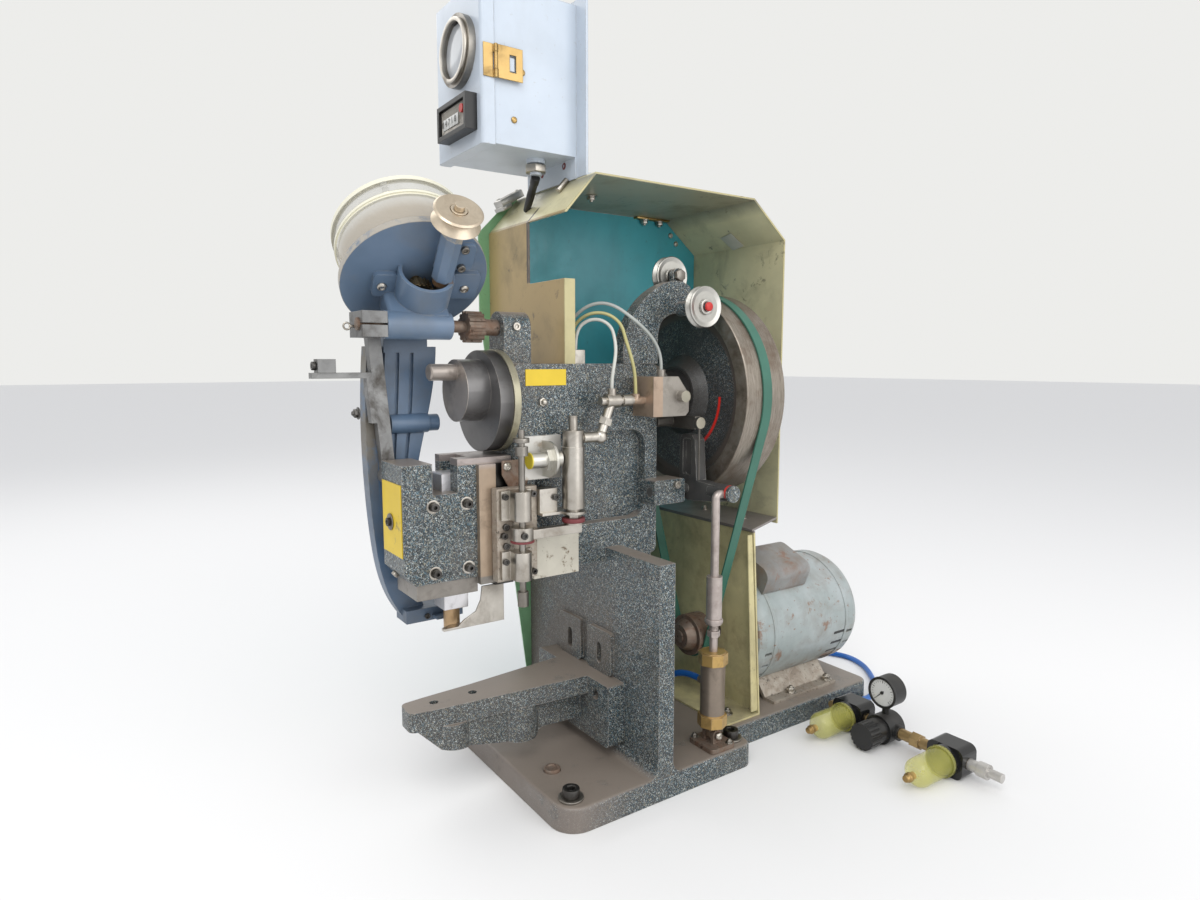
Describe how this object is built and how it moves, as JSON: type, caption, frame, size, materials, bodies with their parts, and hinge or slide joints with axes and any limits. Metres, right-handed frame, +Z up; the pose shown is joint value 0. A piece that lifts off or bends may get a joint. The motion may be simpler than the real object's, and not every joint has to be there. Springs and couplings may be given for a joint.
{
  "type": "eyelet punch press",
  "caption": "Bench press that feeds eyelets from a drum down a curved raceway and sets them under a square ram, belt driven with an air clutch.",
  "frame": {"origin": "centre of the four hold-down holes on the underside of the base", "axes": "+X to the operator's right, -Y to the front of the machine, +Z up"},
  "size_m": [0.502, 0.8464, 0.904],
  "materials": {
    "speckled_paint": "dark blue-grey speckled enamel, oily and dusty",
    "bright_steel": "ground or turned steel, lightly marked",
    "dark_steel": "oil-blackened steel",
    "rusty_steel": "brown, lightly rusted steel",
    "brass": "dull brass",
    "bronze": "dark oily bronze",
    "blue_paint": "blue-grey enamel, worn at the edges",
    "tan_paint": "tan enamel, dusty",
    "teal_paint": "teal enamel",
    "green_paint": "mid green enamel",
    "motor_paint": "grey-green enamel with rust",
    "box_paint": "pale blue-white enamel",
    "aluminium": "cast or turned aluminium",
    "drum_plastic": "clear plastic gone milky",
    "pane": "clear pane over a dark dial",
    "yellow_plate": "plain yellow plate",
    "white_plate": "off-white plate",
    "belt_green": "green flat belt",
    "black_plastic": "black moulding",
    "bowl_plastic": "yellow clear bowl",
    "red_plastic": "red button",
    "tube_plastic": "thin plastic air tube",
    "hose_blue": "blue air hose"
  },
  "bodies": {
    "frame": {"frame_casting": "speckled_paint", "lower_arm": "speckled_paint", "idler_bracket": "speckled_paint", "head_housing": "speckled_paint", "head_bracket": "dark_steel", "head_plates": "rusty_steel", "shaft_bushes": "bronze", "drive_belt": "belt_green", "motor_shell": "motor_paint", "motor_bells": "motor_paint", "capacitor_cover": "motor_paint", "motor_cradle": "motor_paint", "guard_shell": "tan_paint", "guard_back_panel": "teal_paint", "side_post": "green_paint", "lower_guard": "tan_paint", "bare_plates": "yellow_plate", "holding_strap": "bright_steel", "slide_plate": "rusty_steel", "bearing_blocks": "bright_steel", "cylinder_bracket": "bright_steel", "spotter_cylinder": "bright_steel", "sensor_mount": "white_plate", "air_fittings": "bright_steel", "clutch_valve": "bronze", "clutch_cylinder": "brass", "cylinder_foot": "dark_steel", "hopper_shaft": "rusty_steel", "box_body": "box_paint", "air_bowls": "bowl_plastic", "regulator": "black_plastic", "supply_pipes": "brass", "air_hose": "hose_blue", "thin_tubes": "tube_plastic", "cap_screws": "dark_steel"},
    "crank": {"crankshaft": "dark_steel"},
    "flywheel": {"flywheel": "speckled_paint"},
    "rotor": {"motor_rotor": "dark_steel"},
    "idler_far": {"idler_pulley_far": "aluminium"},
    "idler_near": {"idler_pulley_near": "aluminium"},
    "ram": {"ram": "bright_steel"},
    "spotter": {"spotter_rod": "dark_steel", "spotter_link": "bright_steel"},
    "clutch_lever": {"clutch_lever": "speckled_paint"},
    "pull_rod": {"pull_rod": "bright_steel"},
    "feed": {"hopper_casting": "blue_paint", "hopper_drum": "drum_plastic", "raceway": "blue_paint", "feed_lever": "blue_paint", "feed_bracket": "bright_steel"},
    "agitator": {"agitator": "bronze"},
    "hopper_pulley": {"hopper_pulley": "bright_steel"},
    "door": {"box_door": "box_paint", "box_window": "pane", "counter": "black_plastic", "hasp_leaf": "brass"},
    "hasp": {"hasp": "brass"},
    "counter_button": {"counter_button": "red_plastic"},
    "regulator_knob": {"regulator_knob": "black_plastic"}
  },
  "joints": [
    {"name": "crank_turn", "type": "hinge", "parent": "frame", "child": "crank", "pos_m": [0, -0.1, 0.452], "axis": [0, 1, 0], "continuous": true},
    {"name": "flywheel_turn", "type": "hinge", "parent": "frame", "child": "flywheel", "pos_m": [0, 0.15, 0.452], "axis": [0, 1, 0], "continuous": true},
    {"name": "rotor_turn", "type": "hinge", "parent": "frame", "child": "rotor", "pos_m": [0.005, 0.2, 0.122], "axis": [0, 1, 0], "continuous": true},
    {"name": "idler_far_turn", "type": "hinge", "parent": "frame", "child": "idler_far", "pos_m": [0.015, 0.099, 0.602], "axis": [1, 0, 0], "continuous": true},
    {"name": "idler_near_turn", "type": "hinge", "parent": "frame", "child": "idler_near", "pos_m": [0.084, 0.094, 0.56], "axis": [1, 0, 0], "continuous": true},
    {"name": "ram_slide", "type": "slide", "parent": "frame", "child": "ram", "axis": [0, 0, -1], "range_m": [0, 0.064]},
    {"name": "spotter_slide", "type": "slide", "parent": "frame", "child": "spotter", "axis": [0, 0, -1], "range_m": [0, 0.01]},
    {"name": "clutch_lever_hinge", "type": "hinge", "parent": "frame", "child": "clutch_lever", "pos_m": [0.052, 0.064, 0.337], "axis": [0, 1, 0], "range_deg": [0, 6]},
    {"name": "pull_rod_slide", "type": "slide", "parent": "frame", "child": "pull_rod", "axis": [0, 0, -1], "range_m": [0, 0.007]},
    {"name": "feed_swing", "type": "hinge", "parent": "frame", "child": "feed", "pos_m": [0, -0.2, 0.533], "axis": [0, 1, 0], "range_deg": [0, 8]},
    {"name": "hopper_pulley_turn", "type": "hinge", "parent": "feed", "child": "hopper_pulley", "pos_m": [0.00569, -0.2078, 0.56919], "axis": [0.746, -0.1001, 0.6584], "continuous": true},
    {"name": "agitator_turn", "type": "hinge", "parent": "feed", "child": "agitator", "pos_m": [-0.007, -0.228, 0.5805], "axis": [-0.6579, 0.0421, 0.7519], "continuous": true},
    {"name": "door_hinge", "type": "hinge", "parent": "frame", "child": "door", "pos_m": [-0.116, -0.1374, 0.81], "axis": [0, 0, -1], "range_deg": [0, 110]},
    {"name": "hasp_hinge", "type": "hinge", "parent": "door", "child": "hasp", "pos_m": [0.007, -0.1372, 0.815], "axis": [0, 0, -1], "range_deg": [0, 120]},
    {"name": "counter_button_press", "type": "slide", "parent": "door", "child": "counter_button", "axis": [0, 1, 0], "range_m": [0, 0.003], "stiffness_N_per_m": 150},
    {"name": "regulator_knob_turn", "type": "hinge", "parent": "frame", "child": "regulator_knob", "pos_m": [0.2, 0.28, 0.019], "axis": [0, -1, 0], "range_deg": [-360, 360]}
  ],
  "couplings": [
    {"joint": "rotor_turn", "follows": "flywheel_turn", "ratio": 4.6786},
    {"joint": "pull_rod_slide", "follows": "clutch_lever_hinge", "m_per_rad": 0.066},
    {"joint": "agitator_turn", "follows": "hopper_pulley_turn", "ratio": 0.05556}
  ]
}
